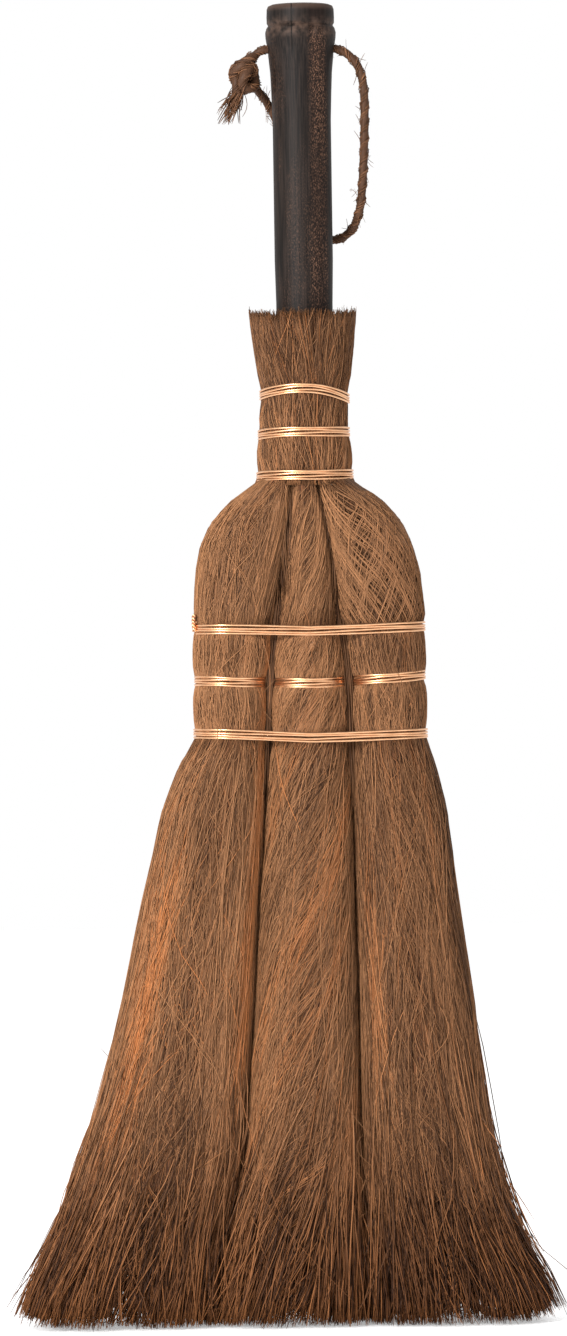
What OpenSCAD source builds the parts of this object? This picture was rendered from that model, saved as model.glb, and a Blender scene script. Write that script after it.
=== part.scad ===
// Hand broom of palm fibre: three rolled bundles bound side by side with copper
// wire, a black bamboo handle let into their gathered heads, and a hanging cord.
// +Z runs up the handle from the sweeping edge, +X to the broom's right.
// The origin is on the handle's axis, in the plane of the trimmed tips.

/* [Brush] */
// Height from the trimmed tips to where the bundles start to flare
flare_h = 212; // [150:1:260]
// Reach of the tips to the left of the handle's axis
sweep_left = 109.5; // [80:0.5:135]
// Reach of the tips to the right of the handle's axis
sweep_right = 86.5; // [65:0.5:110]
// Depth of the brush, front to back, at the tips
brush_depth = 44; // [36:1:56]
// Height of the outermost tips above the sweeping edge
corner_rise = 12; // [6:0.5:20]
// How far the flat of the sweeping edge stops short of the outermost tips
corner_round = 21; // [10:0.5:30]

/* [Bundles] */
// Width of the left bundle where it is bound
left_d = 27.6; // [22:0.1:36]
// Width of the centre bundle where it is bound
centre_d = 29.6; // [24:0.1:38]
// Width of the right bundle where it is bound
right_d = 28.4; // [22:0.1:36]
// Depth of all three bundles, front to back, where they are bound
body_depth = 28.6; // [24:0.1:34]
// Height of the stretch that the body wires bind
body_h = 54; // [44:1:70]
// Height of the rounded shoulders
shoulder_h = 41; // [30:1:55]
// Thickness of the bark sheet rolled round each core
bark_t = 1.2; // [0.8:0.1:2.4]
// Height of the bark's lower edge above the tips of the core
bark_rise = 1.5; // [1:0.5:8]
// Clearance between neighbouring fibre pieces
fibre_gap = 0.2; // [0.1:0.05:0.4]

/* [Neck] */
// Height of the bound neck, to the top of its fringe
neck_h = 61; // [50:1:75]
// Width of the neck at its narrowest, under the top wire
neck_w = 32.4; // [29:0.1:38]
// Width of the fringe at the top of the neck
fringe_w = 38.4; // [34:0.1:44]
// Depth of the neck as a share of its width
neck_round = 0.95; // [0.9:0.01:1.05]
// Thickness of the bark sheet rolled round the neck
neck_bark_t = 1.3; // [0.8:0.1:2.4]

/* [Handle] */
// Length of handle that shows above the fringe
grip_h = 113; // [90:1:180]
// Diameter of the bamboo culm in the grip
handle_d = 21.3; // [18:0.1:24]
// Diameter of the culm's swollen node at the top
node_d = 25.8; // [22:0.1:29]
// Diameter of the hollow in the culm
hollow_d = 13; // [8:0.1:15]
// Depth that the handle goes below the neck, into the bundles
socket_depth = 11; // [4:1:20]
// Diameter of the bamboo pegs that pin the neck to the handle
peg_d = 2.6; // [2:0.1:4]
// Diameter of the bamboo skewers through the three bundles
skewer_d = 3; // [2:0.1:4]
// Clearance round a peg, a skewer or the handle in the fibre
fit = 0.1; // [0.05:0.05:0.2]

/* [Wire] */
// Diameter of the copper wire
wire_d = 0.9; // [0.7:0.05:1.2]
// Turns of wire in each binding
wire_turns = 4; // [3:1:5]
// Spacing of the three bindings round the neck
neck_wire_pitch = 15.8; // [12:0.1:18]
// Spacing of the three bindings round the body
body_wire_pitch = 19.5; // [16:0.1:22]
// How far the body's wires sag between its two sides
body_sag = 1.2; // [0:0.1:3]
// Clearance between a binding and the fibre it goes round
wire_fit = 0.25; // [0.2:0.05:0.4]

/* [Hanging cord] */
// Diameter of the palm-fibre cord
cord_d = 3.6; // [3:0.1:3.9]
// Clearance round the cord in its hole
cord_fit = 0.4; // [0.3:0.05:0.6]
// Distance of the cord's hole below the top of the handle
hole_drop = 16; // [14:0.5:18]

/* [Hidden] */

// Heights of the joints between the broom's stretches
body_top = flare_h + body_h;
neck_z = body_top + shoulder_h;
fringe_z = neck_z + neck_h;
total_h = fringe_z + grip_h;
handle_end = neck_z - socket_depth;
hole_z = total_h - hole_drop;

// Heights of the bindings
band_h = wire_turns * wire_d;
neck_wire_z = [for (i = [0:2]) neck_z + band_h / 2 + 0.4 + i * neck_wire_pitch];
body_wire_z = [for (i = [0:2]) flare_h + body_sag + band_h / 2 + i * body_wire_pitch];
neck_peg_z = (neck_wire_z[1] + neck_wire_z[2]) / 2;
centre_peg_z = (neck_wire_z[0] + neck_wire_z[1]) / 2;
skewer_z = [for (i = [0:1]) (body_wire_z[i] + body_wire_z[i + 1]) / 2];

// The centre bundle stands a little to the left of the handle's axis
centre_x = -0.4;
neck_x = -0.8;
body_left = centre_x - centre_d / 2 - left_d;
body_right = centre_x + centre_d / 2 + right_d;
body_valleys = [centre_x - centre_d / 2, centre_x + centre_d / 2];
neck_valleys = [neck_x - 4.6, neck_x + 4.6];
tip_valleys = [-38, 18];
neck_base_w = neck_w + 3.4;

// Share of the spread reached, against the share of the way down to the tips
flare_left = [[0, 0], [0.09, 0.13], [0.22, 0.24], [0.4, 0.36], [0.58, 0.48], [0.74, 0.63], [0.91, 0.84], [1, 1]];
flare_right = [[0, 0], [0.13, 0.14], [0.22, 0.19], [0.4, 0.28], [0.65, 0.43], [0.83, 0.63], [0.91, 0.76], [1, 1]];
flare_valley = [[0, 0], [0.18, 0.09], [0.46, 0.27], [0.74, 0.46], [0.89, 0.79], [1, 1]];
flare_depth = [[0, 0], [0.3, 0.12], [0.7, 0.55], [1, 1]];
// Share of the body's width kept, against the share of the way up the shoulder
shoulder = [[0, 1], [0.22, 0.94], [0.44, 0.85], [0.63, 0.7], [0.85, 0.38], [1, 0]];
shoulder_valley = [[-0.9, 1], [-0.3, 0.74], [0.4, 0.42], [0.7, 0.17], [1, 0]];
// Half width of the neck over its narrowest, against the height above its base
neck_swell = [[0, 0.5], [0.3, 0.25], [0.48, 0], [0.62, 0.3], [0.78, 0.62], [1, 1]];

ring_sides = 24;
body_square = 2;     // exponent of a round section
tip_square = 3.2;    // exponent of the squarer section at the tips
bite_fade = 4;       // length over which a bundle swells again beside its wire
tie_d = 1.8;         // thickness of the tie wound round each core
tie_z = [for (s = [-1, 1]) body_top + 0.3 * shoulder_h + s * tie_d / 2];
tie_room_z = [tie_z[0] - fit, tie_z[1] + fit];
ring_z = concat(
    [for (i = [1:4]) corner_rise * i / 4],
    [for (i = [1:9]) corner_rise + (flare_h - corner_rise) * i / 9],
    [for (s = [-1, 1]) for (d = [band_h / 2 + 0.4, band_h / 2 + bite_fade]) body_wire_z[1] + s * d],
    [body_top],
    tie_room_z,
    [for (i = [1, 3, 4, 5, 6]) body_top + shoulder_h * i / 6]
);

function mix(a, b, t) = a + (b - a) * t;
function clamp(v) = max(0, min(1, v));
function sort(v) = len(v) < 2 ? v : let (p = v[0])
    concat(sort([for (x = v) if (x < p) x]), [p], sort([for (x = v) if (x > p) x]));

// How far down the flare a height is, 0 where the flare starts and 1 at the outermost tips
function down(z) = (flare_h - z) / (flare_h - corner_rise);
function side(z, tip, body, neck, flare, keep) = z <= flare_h
    ? mix(body, tip, lookup(down(z), flare))
    : mix(neck, body, lookup((z - body_top) / shoulder_h, keep));
function corner(z) = corner_round * (1 - sqrt(1 - pow(clamp((corner_rise - max(z, 0)) / corner_rise), 2)));
function left_edge(z) =
    side(z, -sweep_left, body_left, neck_x - neck_base_w / 2, flare_left, shoulder) + corner(z);
function right_edge(z) =
    side(z, sweep_right, body_right, neck_x + neck_base_w / 2, flare_right, shoulder) - corner(z);
function valley(i, z) = side(z, tip_valleys[i], body_valleys[i], neck_valleys[i], flare_valley, shoulder_valley);
function half_depth(z) =
    side(z, brush_depth, body_depth, neck_base_w * neck_round, flare_depth, shoulder) / 2 - corner(z) / 15;
function squareness(z) = mix(body_square, tip_square, clamp(down(z)));

// A bundle's wire bites into it, so that neighbours' wires fit side by side
function bite(z) = (wire_d + 2 * wire_fit)
    * clamp(1 - (abs(z - body_wire_z[1]) - band_h / 2 - 0.4) / (bite_fade - 0.4));
// Left and right side of bundle i at a height
function span(i, z) = [
    i == 0 ? left_edge(z) : valley(i - 1, z) + fibre_gap / 2,
    i == 2 ? right_edge(z) : valley(i, z) - fibre_gap / 2
];
function ring(x, half_y, z, square) = [
    for (i = [0:ring_sides - 1]) let (c = cos(360 * i / ring_sides), s = sin(360 * i / ring_sides)) [
        (x[0] + x[1]) / 2 + (x[1] - x[0]) / 2 * sign(c) * pow(abs(c), 2 / square),
        half_y * sign(s) * pow(abs(s), 2 / square),
        z
    ]
];
function bundle_ring(i, z, inset) = let (x = span(i, z), d = inset + bite(z))
    ring([x[0] + d, x[1] - d], half_depth(z) - d, z, squareness(z));
function heights(low, high) =
    concat([low], [for (z = sort(ring_z)) if (z > low + 0.3 && z < high - 0.3) z], [high]);

// Closed solid through rings of equal length, lowest first
module loft(rings) {
    n = len(rings[0]);
    last = len(rings) - 1;
    polyhedron(
        points = [for (r = rings) each r],
        faces = concat(
            [[for (j = [0:n - 1]) j]],
            [for (k = [0:last - 1]) for (j = [0:n - 1]) let (a = k * n, b = (j + 1) % n) each [
                [a + j, a + n + j, a + n + b],
                [a + j, a + n + b, a + b]
            ]],
            [[for (j = [n - 1:-1:0]) last * n + j]]
        )
    );
}
// A bundle between two heights, run on straight by over at both ends
module bundle(i, inset, low, high, over = 0) {
    rings = [for (z = heights(low, high)) bundle_ring(i, z, inset)];
    loft(over == 0 ? rings : concat(
        [[for (p = rings[0]) p - [0, 0, over]]],
        rings,
        [[for (p = rings[len(rings) - 1]) p + [0, 0, over]]]
    ));
}

// Half width of the neck at a height
function neck_half(z) = (neck_w + (fringe_w - neck_w) * lookup((z - neck_z) / neck_h, neck_swell)) / 2;
module neck_body(inset, low, high) {
    steps = 8;
    loft([for (k = [0:steps]) let (z = mix(low, high, k / steps), w = neck_half(z) - inset)
        ring([neck_x - w, neck_x + w], w * neck_round, z, 2)]);
}

// What the handle, the pegs and the skewers take out of the fibre
module handle_room() {
    translate([0, 0, handle_end - fit]) cylinder(d = handle_d + 2 * fit, h = total_h, $fn = 64);
}
module peg_room() {
    neck_peg_body(fit);
    centre_peg_body(fit);
}
module skewer_room() {
    for (z = skewer_z) skewer_body(z, fit);
}

/* Handle */

node_r = node_d / 2;
grip_r = handle_d / 2;
end_r = grip_r - 0.35;
node_z = total_h - 7.5;
diaphragm_t = 5;
// The outside of the culm from its top edge down: radius and height
culm_outline = [
    [node_r - 2.2, total_h], [node_r - 1.1, total_h - 0.5], [node_r - 0.65, total_h - 1.6],
    [node_r - 0.55, total_h - 4.5], [node_r - 0.6, node_z + 0.9], [node_r - 1.1, node_z],
    [node_r - 0.4, node_z - 1.1], [node_r, node_z - 2.6], [node_r - 0.1, node_z - 4.5],
    [node_r - 0.75, hole_z], [mix(grip_r, node_r, 0.29), hole_z - 8.5], [mix(grip_r, node_r, 0.13), hole_z - 17],
    [grip_r, hole_z - 26], [grip_r, fringe_z + 20], [end_r, fringe_z + 4], [end_r, handle_end]
];
module handle_culm() color([0.2, 0.16, 0.14]) difference() {
    rotate_extrude($fn = 64) polygon(concat([[0, total_h]], culm_outline, [[0, handle_end]]));
    // The hollow above the node's diaphragm, and the long one below it
    translate([0, 0, node_z + 1]) cylinder(d = hollow_d, h = total_h);
    translate([0, 0, handle_end - 1]) cylinder(d = hollow_d, h = node_z + 1 - diaphragm_t - handle_end + 1);
    translate([-node_d, 0, hole_z]) rotate([0, 90, 0]) cylinder(d = cord_d + 2 * cord_fit, h = 2 * node_d);
    neck_peg_body(0);
    centre_peg_body(0);
}

// One peg runs from side to side through the outer bundles' heads, and one from
// front to back through the centre bundle's head
peg_cover = 0.6; // fibre left over a peg's end
module neck_peg_body(grow) {
    half = neck_half(neck_peg_z) - neck_bark_t - peg_cover + grow;
    translate([neck_x - half, 0, neck_peg_z]) rotate([0, 90, 0]) cylinder(d = peg_d + 2 * grow, h = 2 * half, $fn = 24);
}
module centre_peg_body(grow) {
    half = neck_half(centre_peg_z) * neck_round - neck_bark_t - peg_cover + grow;
    translate([0, half, centre_peg_z]) rotate([90, 0, 0]) cylinder(d = peg_d + 2 * grow, h = 2 * half, $fn = 24);
}
module neck_peg() color([0.8, 0.68, 0.45]) neck_peg_body(0);
module centre_peg() color([0.8, 0.68, 0.45]) centre_peg_body(0);

// A skewer has a point at each end and stops inside the outer bundles' bark
module skewer_body(z, grow) {
    margin = bark_t + 3;
    point = 5;
    low = body_left + margin - grow;
    high = body_right - margin + grow;
    translate([low, 0, z]) rotate([0, 90, 0]) rotate_extrude($fn = 24) polygon([
        [0, 0], [skewer_d / 2 + grow, point], [skewer_d / 2 + grow, high - low - point], [0, high - low]
    ]);
}
module skewer_upper() color([0.8, 0.68, 0.45]) skewer_body(skewer_z[1], 0);
module skewer_lower() color([0.8, 0.68, 0.45]) skewer_body(skewer_z[0], 0);

/* Fibre */

bark_inset = bark_t + fibre_gap;
bark_top = neck_z - 0.6;
head_top = fringe_z - 1;
head_split = 5.2;  // half width of the centre bundle's head in the neck

// The part of the neck's filling that belongs to bundle i
module head_share(i) {
    intersection() {
        neck_body(neck_bark_t + fibre_gap, neck_z - 0.3, head_top);
        if (i == 1)
            translate([-head_split, -60, 0]) cube([2 * head_split, 120, total_h]);
        else
            mirror([i == 0 ? 1 : 0, 0, 0]) translate([head_split + fibre_gap, -60, 0]) cube([60, 120, total_h]);
    }
}
// A ring round bundle i, sunk into its core, between two heights
module tie_ring(i, z, outer, inner) {
    middle = (z[0] + z[1]) / 2;
    difference() {
        loft([for (h = z) [for (p = bundle_ring(i, middle, outer)) [p[0], p[1], h]]]);
        loft([for (h = [z[0] - 1, z[1] + 1]) [for (p = bundle_ring(i, middle, inner)) [p[0], p[1], h]]]);
    }
}
module tie_body(i) {
    tie_ring(i, tie_z, bark_inset + 0.1, bark_inset + 0.1 + tie_d);
}
module tie_room(i) {
    tie_ring(i, tie_room_z, bark_inset - 1, bark_inset + 0.1 + tie_d + fit);
}
// resize() with no new size keeps the shape, and gives it as one closed mesh
module core(i) resize([0, 0, 0]) difference() {
    union() {
        bundle(i, bark_inset, 0, neck_z - 0.2);
        head_share(i);
    }
    handle_room();
    peg_room();
    skewer_room();
    tie_room(i);
}
module bark(i) resize([0, 0, 0]) difference() {
    bundle(i, 0, bark_rise, bark_top);
    bundle(i, bark_t, bark_rise, bark_top, over = 1);
    handle_room();
    skewer_room();
}
module left_core() color([0.42, 0.29, 0.2]) core(0);
module centre_core() color([0.42, 0.29, 0.2]) core(1);
module right_core() color([0.42, 0.29, 0.2]) core(2);
module left_core_tie() color([0.36, 0.25, 0.17]) resize([0, 0, 0]) tie_body(0);
module centre_core_tie() color([0.36, 0.25, 0.17]) resize([0, 0, 0]) tie_body(1);
module right_core_tie() color([0.36, 0.25, 0.17]) resize([0, 0, 0]) tie_body(2);
module left_bark() color([0.58, 0.41, 0.28]) bark(0);
module centre_bark() color([0.56, 0.38, 0.25]) bark(1);
module right_bark() color([0.52, 0.35, 0.23]) bark(2);
module neck_bark() color([0.5, 0.34, 0.22]) resize([0, 0, 0]) difference() {
    neck_body(0, neck_z, fringe_z);
    neck_body(neck_bark_t, neck_z - 0.1, fringe_z + 0.1);
}

/* Wire */

// A binding: turns of wire side by side, following closed points of [x, y, z, outward x, outward y]
module binding(path) {
    n = len(path);
    bump = 3; // points round the outside of each turn
    section = concat(
        [[-wire_d / 2, -band_h / 2]],
        [for (t = [0:wire_turns - 1]) for (k = [0:bump - 1]) let (a = -60 + 120 * k / (bump - 1)) [
            cos(a) * wire_d / 2, (t + 0.5) * wire_d - band_h / 2 + sin(a) * wire_d / 2
        ]],
        [[-wire_d / 2, band_h / 2]]
    );
    m = len(section);
    polyhedron(
        points = [for (p = path) for (q = section) [p[0] + p[3] * q[0], p[1] + p[4] * q[0], p[2] + q[1]]],
        faces = [for (i = [0:n - 1]) for (j = [0:m - 1]) let (a = i * m, b = ((i + 1) % n) * m, k = (j + 1) % m) each [
            [a + j, a + k, b + k],
            [a + j, b + k, b + j]
        ]]
    );
}
wire_off = wire_d / 2 + wire_fit; // from the fibre to the middle of the wire
// An oval path whose two sides droop below its front and back
function oval_path(x, rx, ry, z, droop, sides) = [
    for (i = [0:sides - 1]) let (
        c = cos(360 * i / sides), s = sin(360 * i / sides), nx = c * ry, ny = s * rx, l = norm([nx, ny])
    ) [x + c * rx, s * ry, z - droop * abs(c), nx / l, ny / l]
];
// The wire's two ends are twisted together and stand up against the binding
twist_d = 1.6 * wire_d;
twist_h = 5.5;
twist_off = wire_d / 2 + twist_d / 2 + 0.05; // from the middle of the wire to the middle of its end
module twisted_end(x, y, z) {
    translate([x, y, z]) cylinder(d = twist_d, h = twist_h, $fn = 24);
}
module neck_binding(i, droop) color([0.85, 0.55, 0.38]) {
    z = neck_wire_z[i];
    w = max(neck_half(z - band_h / 2 - droop), neck_half(z + band_h / 2)) + wire_off;
    binding(oval_path(neck_x, w, w * neck_round, z, droop, 32));
    twisted_end(neck_x, w * neck_round + twist_off, z);
}
module neck_wire_upper() neck_binding(2, 2.5);
module neck_wire_middle() neck_binding(1, 0.5);
module neck_wire_lower() neck_binding(0, 0);

// Round the outer bundles' sides and straight across the front and back
module body_binding(z, sag) {
    r = body_depth / 2;
    reach = r + wire_off;
    steps = 12;
    arc = [for (k = [0:steps]) -90 + 180 * k / steps];
    centres = [body_right - r, body_left + r];
    binding([for (e = [0, 1]) for (a = arc) let (f = 1 - 2 * e) [
        centres[e] + f * cos(a) * reach, f * sin(a) * reach, z - sag * (1 - cos(a)), f * cos(a), f * sin(a)
    ]]);
}
module body_wire_upper() color([0.85, 0.55, 0.38]) {
    body_binding(body_wire_z[2], body_sag);
    twisted_end(body_left - wire_off - twist_off, 0, body_wire_z[2]);
}
module body_wire_lower() color([0.85, 0.55, 0.38]) {
    body_binding(body_wire_z[0], body_sag);
    twisted_end(0, body_depth / 2 + wire_off + twist_off, body_wire_z[0] - body_sag);
}

module bundle_binding(i) color([0.85, 0.55, 0.38]) {
    z = body_wire_z[1];
    at = [for (s = [-1, 1]) span(i, z + s * band_h / 2)];
    low = min(at[0][0], at[1][0]);
    high = max(at[0][1], at[1][1]);
    middle = (low + high) / 2;
    inset = bite(z) - wire_off;
    reach = half_depth(z) - inset;
    binding(oval_path(middle, (high - low) / 2 - inset, reach, z, 0, 28));
    twisted_end(middle, reach + twist_off, z);
}
module left_bundle_wire() bundle_binding(0);
module centre_bundle_wire() bundle_binding(1);
module right_bundle_wire() bundle_binding(2);

/* Hanging cord */

// From the knot through the handle, down its right side, and up behind it to the knot
cord_route = [
    [-18, 0, 460.5], [-16.2, 0, 463.4], [-13.6, 0, 464.9], [-11, 0, 465], [0, 0, 465], [11, 0, 465],
    [13.8, 0, 464.6], [17, 0, 462.9], [19.8, 0, 460], [21.8, 0, 455.8], [22.8, 0.5, 450], [23, 1.5, 442],
    [22.8, 2.5, 433], [22.4, 3.5, 424], [21.8, 5, 415], [20.8, 7, 407], [18.4, 9.8, 400.4], [14, 12.4, 396.6],
    [8.6, 13.8, 396.2], [3.8, 14.3, 399.4], [0.4, 14.4, 406], [-2.2, 14.3, 415], [-4.6, 14, 424.5],
    [-7.2, 13.2, 434], [-10.2, 11.4, 442], [-13.4, 8.8, 447.4], [-16.2, 5, 450.6], [-18.4, 1.4, 453]
];
cord_sides = 8;
// A ring square to the route at point i, carrying its first direction along from the last one
function unit(v) = v / norm(v);
function along(p, i) = unit(p[min(i + 1, len(p) - 1)] - p[max(i - 1, 0)]);
function carry(p, i) = i == 0 ? unit(cross(along(p, 0), [0, 1, 0]))
    : let (u = carry(p, i - 1), t = along(p, i)) unit(u - (u * t) * t);
function tube_ring(p, i, d) = let (u = carry(p, i), w = cross(along(p, i), u))
    [for (k = [0:cord_sides - 1]) let (a = 360 * k / cord_sides) p[i] + (u * cos(a) + w * sin(a)) * d / 2];
module hanging_cord() color([0.35, 0.22, 0.14])
    loft([for (i = [0:len(cord_route) - 1]) tube_ring(cord_route, i, cord_d)]);

// The knot's three lumps, each a place and a radius
knot_lumps = [[[-18.2, 0, 460], 3.6], [[-21.2, 0.8, 456], 4.4], [[-18.8, -0.6, 452.2], 4.2]];
module cord_knot() color([0.33, 0.21, 0.14]) hull()
    for (k = knot_lumps) translate(k[0]) sphere(r = k[1], $fn = 20);
// The two frayed ends hang out of the knot as one tuft
module cord_tails() color([0.38, 0.26, 0.18])
    translate([-26.6, 0, 438]) rotate([0, 23, 0]) cylinder(r1 = 3, r2 = 1.9, h = 14, $fn = 24);

handle_culm();
neck_peg();
centre_peg();
skewer_upper();
skewer_lower();
left_core();
centre_core();
right_core();
left_core_tie();
centre_core_tie();
right_core_tie();
left_bark();
centre_bark();
right_bark();
neck_bark();
neck_wire_upper();
neck_wire_middle();
neck_wire_lower();
body_wire_upper();
body_wire_lower();
left_bundle_wire();
centre_bundle_wire();
right_bundle_wire();
hanging_cord();
cord_knot();
cord_tails();
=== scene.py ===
import bpy
import numpy as np
from mathutils import Matrix, Vector


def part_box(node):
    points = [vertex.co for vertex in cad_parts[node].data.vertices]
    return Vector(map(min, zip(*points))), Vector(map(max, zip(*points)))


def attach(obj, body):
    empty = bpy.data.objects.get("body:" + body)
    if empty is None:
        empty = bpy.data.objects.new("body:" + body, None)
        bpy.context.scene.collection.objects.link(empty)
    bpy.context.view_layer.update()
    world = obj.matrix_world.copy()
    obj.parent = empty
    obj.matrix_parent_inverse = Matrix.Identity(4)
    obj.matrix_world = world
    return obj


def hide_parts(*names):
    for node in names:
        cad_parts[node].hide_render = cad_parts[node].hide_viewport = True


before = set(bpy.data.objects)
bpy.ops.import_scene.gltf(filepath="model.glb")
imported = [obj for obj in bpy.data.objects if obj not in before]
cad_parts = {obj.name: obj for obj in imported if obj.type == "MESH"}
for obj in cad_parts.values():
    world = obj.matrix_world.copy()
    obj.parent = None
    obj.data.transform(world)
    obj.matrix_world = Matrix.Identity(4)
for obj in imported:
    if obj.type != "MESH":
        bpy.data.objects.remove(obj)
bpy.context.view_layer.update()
bpy.ops.object.select_all(action="DESELECT")

# ---------------------------------------------------------------- camera
# A long lens looks level at the broom's front. The broom leans a little to
# the left in the frame, so the camera is turned about its own axis.
MM = 0.001
FRAME_HEIGHT = 0.4876
CAMERA_DISTANCE = 2.6
AIM = Vector((-0.0096, 0.0, 0.2392))
LEAN = 0.0148
SENSOR = 36

bpy.ops.object.camera_add(location=AIM + Vector((0, -CAMERA_DISTANCE, 0)))
camera = bpy.context.object
camera.name = "camera"
right = Vector((1, 0, -LEAN)).normalized()
up = Vector((LEAN, 0, 1)).normalized()
camera.rotation_euler = Matrix((right, up, right.cross(up))).transposed().to_euler()
camera.data.sensor_width = SENSOR
camera.data.lens = SENSOR * CAMERA_DISTANCE / FRAME_HEIGHT
camera.data.clip_end = 50
bpy.context.scene.camera = camera

# ---------------------------------------------------------------- materials
# Shader maths as Python expressions, and one way to add any other node.


class Value:
    """One output of a material's nodes, which Python's arithmetic works on."""

    def __init__(self, finish, socket):
        self.finish, self.socket = finish, socket

    def math(self, operation, a, b, clamp=False):
        settings = {"operation": operation, "use_clamp": clamp}
        return self.finish.node("ShaderNodeMath", settings, {0: a, 1: b})

    def __add__(self, other):
        return self.math("ADD", self, other)

    def __sub__(self, other):
        return self.math("SUBTRACT", self, other)

    def __mul__(self, other):
        return self.math("MULTIPLY", self, other)

    def clamped(self):
        return self.math("ADD", self, 0.0, clamp=True)

    def absolute(self):
        return self.math("ABSOLUTE", self, 0.0)


class Finish:
    """A node material with one Principled shader."""

    def __init__(self, name, roughness=0.5, **constants):
        self.material = bpy.data.materials.new(name)
        self.material.use_nodes = True
        self.tree = self.material.node_tree
        self.shader = self.tree.nodes["Principled BSDF"]
        self.put(self.shader.inputs["Roughness"], roughness)
        for socket, value in constants.items():
            self.put(self.shader.inputs[socket.replace("_", " ")], value)

    def put(self, socket, value):
        if isinstance(value, Value):
            self.tree.links.new(value.socket, socket)
        elif isinstance(value, tuple) and len(value) == 3 and socket.type == "RGBA":
            socket.default_value = (*value, 1)
        else:
            socket.default_value = value

    def node(self, kind, settings=None, values=None, output=0):
        made = self.tree.nodes.new(kind)
        for name, setting in (settings or {}).items():
            setattr(made, name, setting)
        for name, value in (values or {}).items():
            self.put(made.inputs[name], value)
        return Value(self, made.outputs[output])

    def place(self, scale):
        """Object coordinates, scaled."""
        at = self.node("ShaderNodeTexCoord", output="Object")
        return self.node("ShaderNodeMapping", {}, {"Vector": at, "Scale": scale})

    def noise(self, vector, detail=2.0, rough=0.5):
        values = {"Vector": vector, "Scale": 1.0, "Detail": detail, "Roughness": rough}
        return self.node("ShaderNodeTexNoise", {}, values)

    def mix(self, factor, a, b):
        made = self.tree.nodes.new("ShaderNodeMix")
        made.data_type = "RGBA"
        self.put(made.inputs[0], factor)
        self.put(made.inputs[6], a)
        self.put(made.inputs[7], b)
        return Value(self, made.outputs[2])

    def ramp(self, value, low, high):
        """0 below low, 1 above high and smooth between."""
        settings = {"interpolation_type": "SMOOTHSTEP"}
        values = {"Value": value, "From Min": low, "From Max": high}
        return self.node("ShaderNodeMapRange", settings, values)

    def attribute(self, name):
        return self.node("ShaderNodeAttribute", {"attribute_name": name}, output="Fac")

    def axis(self, name):
        """One object coordinate: X, Y or Z."""
        at = self.node("ShaderNodeTexCoord", output="Object")
        return self.node("ShaderNodeSeparateXYZ", {}, {"Vector": at}, output=name)

    def finish(self, colour, bump=None, strength=0.3, distance=0.0005):
        self.put(self.shader.inputs["Base Color"], colour)
        if bump is not None:
            values = {"Strength": strength, "Distance": distance, "Height": bump}
            self.put(self.shader.inputs["Normal"], self.node("ShaderNodeBump", {}, values))
        return self.material


# ---------------------------------------------------------------- studio
# A plain white floor, soft light all round that is brightest behind the
# broom, a strong light from the upper left in front, a weaker one opposite
# and one from above.
FLOOR_SIZE = 8.0
FRONT_GLOW, BACK_GLOW = 0.5, 1.0
bpy.ops.mesh.primitive_plane_add(size=FLOOR_SIZE, location=(0, 0, 0))
floor = bpy.context.object
floor.name = "floor"
floor_finish = Finish("pale_floor", roughness=0.9, Emission_Color=(1, 1, 1), Emission_Strength=0.4)
floor.data.materials.append(floor_finish.finish((0.86, 0.86, 0.86)))

world = bpy.data.worlds.new("studio")
world.use_nodes = True
background = world.node_tree.nodes["Background"]
background.inputs["Color"].default_value = (1, 1, 1, 1)
heading = world.node_tree.nodes.new("ShaderNodeTexCoord")
split = world.node_tree.nodes.new("ShaderNodeSeparateXYZ")
glow = world.node_tree.nodes.new("ShaderNodeMapRange")
glow.interpolation_type = "SMOOTHSTEP"
for socket, value in (("From Min", -0.2), ("From Max", 0.8), ("To Min", FRONT_GLOW), ("To Max", BACK_GLOW)):
    glow.inputs[socket].default_value = value
world.node_tree.links.new(heading.outputs["Generated"], split.inputs["Vector"])
world.node_tree.links.new(split.outputs["Y"], glow.inputs["Value"])
world.node_tree.links.new(glow.outputs["Result"], background.inputs["Strength"])
bpy.context.scene.world = world
bpy.context.scene.view_settings.view_transform = "Standard"

for name, place, size, power in (
    ("key_light", (-1.3, -1.9, 0.95), 0.6, 76),
    ("fill_light", (1.5, -1.6, 0.7), 1.4, 8),
    ("top_light", (0.1, 0.6, 1.9), 1.2, 6),
):
    bpy.ops.object.light_add(type="AREA", location=place)
    light = bpy.context.object
    light.name = name
    light.data.size = size
    light.data.energy = power
    light.rotation_euler = (AIM - Vector(place)).to_track_quat("-Z", "Y").to_euler()

# ---------------------------------------------------------------- fibres
# Every fibre is a three-sided thread swept along its own path. A piece holds
# many of them, each with its own tone and its own share of tan.
rng = np.random.default_rng(7)
WELD = 1e-7
# The lightest tips, rusty and darkened by painted shade, as a share of the fibre's light colour
RUST = (0.74, 0.6, 0.46)


def section_of(name, corners, waist=1.0):
    """An outline of radius 1 mm to sweep along paths: round, or narrowed to a waist across one direction."""
    curve = bpy.data.curves.new(name, "CURVE")
    curve.dimensions = "2D"
    spline = curve.splines.new("POLY")
    spline.points.add(corners - 1)
    for k, point in enumerate(spline.points):
        turn = 2 * np.pi * k / corners
        reach = MM * (waist + (1 - waist) * abs(np.cos(turn)))
        point.co = (reach * np.cos(turn), reach * np.sin(turn), 0, 1)
    spline.use_cyclic_u = True
    return bpy.data.objects.new(name, curve)


thread_section = section_of("thread_section", 3)


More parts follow.
